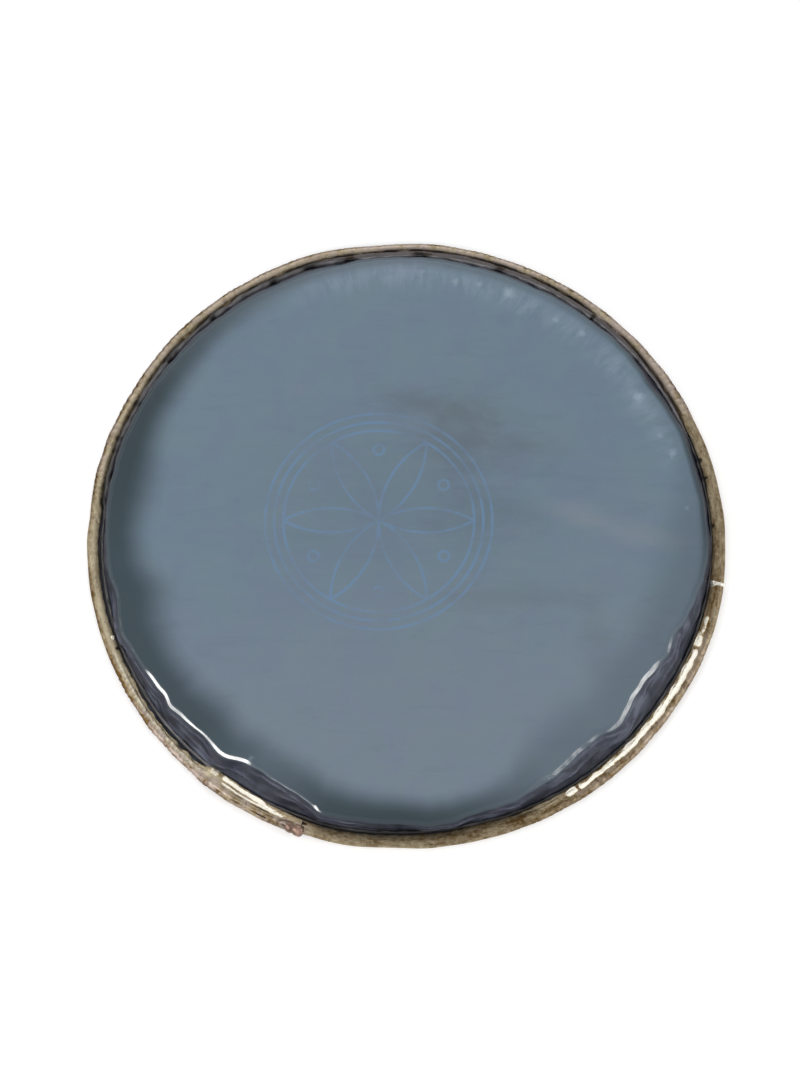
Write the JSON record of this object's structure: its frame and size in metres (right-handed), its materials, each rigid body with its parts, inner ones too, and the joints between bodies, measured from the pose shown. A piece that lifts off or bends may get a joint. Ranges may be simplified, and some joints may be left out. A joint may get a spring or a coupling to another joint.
{
  "type": "hand drum head",
  "caption": "Round plastic film drumhead with a pleated collar, gripped by a folded brass strip hoop with a wire core, a swaged lap and a brazed butt joint.",
  "frame": {"origin": "centre of the hoop on the plane that it rests on", "axes": "+Z along the head's axis, out of the playing face; the butt joint lies close to +X, and the lap between -X and -Y"},
  "size_m": [0.22, 0.22, 0.0095],
  "materials": {
    "film": "translucent blue-grey film, glossy, slightly cloudy",
    "steel": "plain drawn wire",
    "strip_brass": "dull, hand-crimped, worn",
    "resin": "black, cured, uneven",
    "copper_braze": "copper-coloured drop, bright",
    "silver_braze": "bright, smooth"
  },
  "bodies": {
    "root": {"drum_film": "film", "core_wire": "steel", "rim_strip_long": "strip_brass", "rim_strip_short": "strip_brass", "resin_bead": "resin", "lap_braze": "copper_braze", "butt_braze": "silver_braze", "tack_braze": "silver_braze"}
  },
  "joints": []
}
